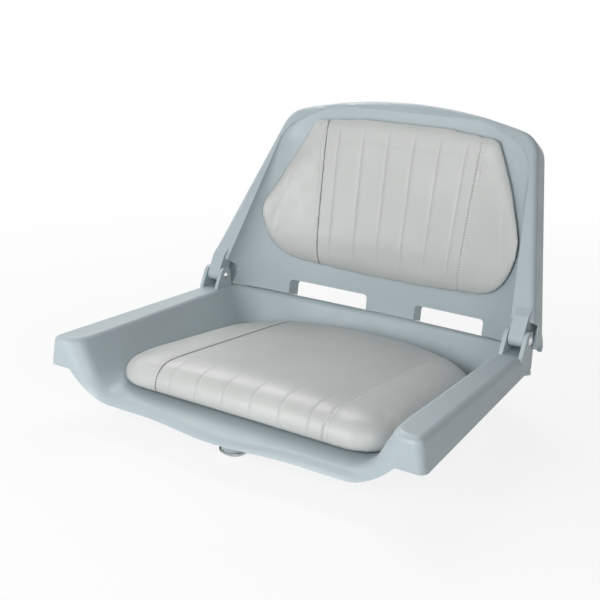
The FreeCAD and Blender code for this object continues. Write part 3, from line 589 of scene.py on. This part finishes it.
# Back cushion: the same vinyl over thinner foam on a curved board, hollow from side to
# side so that it follows the dish of the back shell.
DISH_TOP = 0.2625
DISH_DRAWN = 0.195
HINGE_PLACE = Vector((0.0, 0.048, 0.1162))
RECLINE = math.radians(-28.0)
BACK_SQUARE = 0.0028
BACK_PUFF = 0.0015
in_back = Matrix.Translation(HINGE_PLACE) @ Matrix.Rotation(RECLINE, 4, "X")


def dish_half(h):
    """Half-width of the dish at a height up the rim: a straight taper, drawn in near the top."""
    rise = np.maximum(0.0, (h - DISH_DRAWN) / (DISH_TOP - DISH_DRAWN))
    return 0.215 - 0.1432 * h - 0.073 * rise ** 3


def dish_wall(x, h):
    """How far behind the pins the dish lies: half an ellipse across, its depth falling to the top."""
    depth = 0.435 * (DISH_TOP - h) + 0.0003
    return -0.005 + depth * np.sqrt(np.maximum(0.0, 1.0 - (x / dish_half(h)) ** 2))


def cushion_face(x, h):
    """How far behind the pins the cushion's face lies: half an ellipse across, shallower to the top."""
    depth = 0.0992 - 0.369 * h
    return -0.017 + depth * np.sqrt(np.maximum(0.0, 1.0 - (x / (dish_half(h) + 0.004)) ** 2))


def back_seam(h):
    """Distance of the seams from the middle at a height up the rim, a little wider to the top."""
    return 0.107 + 0.042 * (h - 0.054)


back_half = [(0.170, 0.0525), (0.1975, 0.104), (0.165, 0.183), (0.1365, 0.241), (0.06, 0.2495)]
back_outline = rounded_outline(back_half + [(-x, y) for x, y in reversed(back_half)],
                               [0.05, 0.05, 0.2, 0.014, 0.4, 0.4, 0.014, 0.2, 0.05, 0.05], 360)
back_edge = [(0.026, 0.026, 0.0), (0.0165, 0.0165, 0.05), (0.0095, 0.0095, 0.15), (0.0045, 0.0045, 0.3),
             (0.0014, 0.0014, 0.5), (0.0, 0.0, 0.7), (0.0, 0.0, 0.84), (0.003, 0.003, 0.93),
             (0.011, 0.011, 0.96)]
rings, levels = pad_rings(back_outline, np.array([0.0, 0.145]), back_edge)
wide, high = rings[..., 0], rings[..., 1]
level = levels[:, None]
behind = (1 - level) * cushion_face(wide, high) + level * (dish_wall(wide, high) - 0.001)
back_points = np.stack([wide, behind, high], axis=2)
back_pad = grid_piece("back_cushion", carried(back_points, in_back)[:, ::-1])
even_skin(back_pad, BACK_SQUARE)


def back_local(mesh):
    """Positions across, behind the pins and up the rim."""
    return carried(mesh_points(mesh), in_back.inverted())


local = back_local(back_pad.data)
to_wall = dish_wall(local[:, 0], local[:, 2]) - local[:, 1]
held = np.clip((0.014 - to_wall) / 0.008, 0.0, 1.0)
puffed(back_pad, held, BACK_PUFF * groove(local[:, 0], 0.13))
finer(back_pad)
local = back_local(back_pad.data)
normals = mesh_normals(back_pad.data) @ np.array(in_back.to_3x3())
facing = np.clip(-normals[:, 1] * 3 + 1.5, 0.0, 1.0)
seam = back_seam(local[:, 2])
local[:, 0], rise = lapped(local[:, 0], seam)
across = np.abs(local[:, 0]) / seam
from_channel = np.abs((across * CHANNELS_A_SIDE) % 1.0 - 0.5) * seam / CHANNELS_A_SIDE
middle = np.clip((seam - np.abs(local[:, 0])) / 0.012, 0.0, 1.0)
ends = np.clip((0.238 - local[:, 2]) / 0.02, 0.0, 1.0) * np.clip((local[:, 2] - 0.06) / 0.02, 0.0, 1.0)
sewn = middle * ends * facing
rise -= CHANNEL_DEPTH * groove(from_channel, 0.0022) * sewn
set_points(back_pad.data, carried(local + normals * (rise * facing)[:, None], in_back))
mark(back_pad.data, "sewn", sewn)
mark(back_pad.data, "across", across)
back_pad.data.materials.append(grey_vinyl)
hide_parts("back_cover_center_panel", "back_cover_left_panel", "back_cover_right_panel",
            "back_foam")
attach(back_pad, "back")

BACK_REACH = 0.08
back_rows = []
heights = np.linspace(0.056, 0.24, 120)
for share in [side * row for side in (-1, 1) for row in STITCH_ROWS]:
    x = share * back_seam(heights)
    ahead = carried(np.stack([x, np.full_like(x, -BACK_REACH), heights], axis=1), in_back)
    beyond = carried(np.stack([x, np.full_like(x, BACK_REACH), heights], axis=1), in_back)
    back_rows.append(stitch_row(*surface_row(back_pad, ahead, beyond)))
stitched("back_stitching", back_rows, "back")


# Floor, light and camera: a pale floor that the seat stands on, soft light from the front,
# from both sides and from behind, and the camera where the seat is seen from the front right.
def background_seen(tree):
    """1 for rays from the camera, off gloss and through glass, which see the plain background, or 0."""
    rays = add_node(tree, "ShaderNodeLightPath")
    seen = rays.outputs["Is Camera Ray"]
    for kind in ("Is Glossy Ray", "Is Transmission Ray"):
        either = add_node(tree, "ShaderNodeMath", operation="MAXIMUM")
        tree.links.new(seen, either.inputs[0])
        tree.links.new(rays.outputs[kind], either.inputs[1])
        seen = either.outputs[0]
    return seen


def pale_floor():
    """White floor that keeps the shadow near the seat and turns plain white to the camera further out."""
    material, tree, shader = new_material("pale_floor")
    shader.inputs["Base Color"].default_value = (0.9, 0.9, 0.9, 1.0)
    shader.inputs["Roughness"].default_value = 0.9
    glow = add_node(tree, "ShaderNodeEmission", {"Color": (1.0, 1.0, 1.0, 1.0), "Strength": 1.0})
    away = add_node(tree, "ShaderNodeVectorMath", operation="LENGTH")
    tree.links.new(object_place(tree), away.inputs[0])
    plain = spread(tree, away.outputs["Value"], 0.85, 1.0, 0.4, 1.3)
    blend = add_node(tree, "ShaderNodeMixShader")
    tree.links.new(product(tree, background_seen(tree), plain), blend.inputs["Fac"])
    tree.links.new(shader.outputs["BSDF"], blend.inputs[1])
    tree.links.new(glow.outputs["Emission"], blend.inputs[2])
    tree.links.new(blend.outputs["Shader"], tree.nodes["Material Output"].inputs["Surface"])
    return material


FLOOR_HALF = 40.0
corners = [(x * FLOOR_HALF, y * FLOOR_HALF, 0.0) for x, y in ((-1, -1), (1, -1), (1, 1), (-1, 1))]
floor_mesh = bpy.data.meshes.new("floor")
floor_mesh.from_pydata(corners, [], [(0, 1, 2, 3)])
floor = bpy.data.objects.new("floor", floor_mesh)
bpy.context.scene.collection.objects.link(floor)
floor_mesh.materials.append(pale_floor())


def soft_light(name, place, target, size, power):
    """Square soft light at a place, aimed at a point."""
    lamp = bpy.data.lights.new(name, "AREA")
    lamp.size = size
    lamp.energy = power
    holder = bpy.data.objects.new(name, lamp)
    holder.visible_camera = False
    holder.location = place
    holder.rotation_euler = (Vector(target) - Vector(place)).to_track_quat("-Z", "Y").to_euler()
    bpy.context.scene.collection.objects.link(holder)


SEAT_MIDDLE = (0.0, -0.05, 0.15)
soft_light("front_light", (-0.3, -1.3, 0.5), SEAT_MIDDLE, 0.7, 10.4)
soft_light("right_light", (1.3, -1.4, 1.0), SEAT_MIDDLE, 1.0, 13.5)
soft_light("left_light", (-1.6, -0.2, 1.0), SEAT_MIDDLE, 1.2, 4.8)
soft_light("rear_light", (-1.0, 0.9, 1.6), (0.0, -0.12, 0.12), 1.2, 19.5)
world = bpy.data.worlds.new("white_room")
bpy.context.scene.world = world
world.use_nodes = True
FAINT_FILL = 0.03
room = world.node_tree
sky = room.nodes["Background"]
sky.inputs["Color"].default_value = (1.0, 1.0, 1.0, 1.0)
room.links.new(spread(room, background_seen(room), FAINT_FILL, 1.0, 0.0, 1.0), sky.inputs["Strength"])

LOOK_AT = Vector((-0.01153, -0.06471, 0.14601))
DISTANCE = 1.27404
camera_data = bpy.data.cameras.new("camera")
camera_data.lens = 63.21
camera_data.sensor_width = 36.0
camera = bpy.data.objects.new("camera", camera_data)
azimuth, height, roll = np.radians([33.1, 17.4, 1.53])
ground = math.cos(height)
away = Vector((math.sin(azimuth) * ground, -math.cos(azimuth) * ground, math.sin(height)))
right = Vector((math.cos(azimuth), math.sin(azimuth), 0.0))
up = away.cross(right)
tilted_right = math.cos(roll) * right + math.sin(roll) * up
tilted_up = -math.sin(roll) * right + math.cos(roll) * up
turn = Matrix((tilted_right, tilted_up, away)).transposed().to_4x4()
camera.matrix_world = Matrix.Translation(LOOK_AT + DISTANCE * away) @ turn
bpy.context.scene.collection.objects.link(camera)
bpy.context.scene.camera = camera
bpy.context.scene.view_settings.view_transform = "Standard"
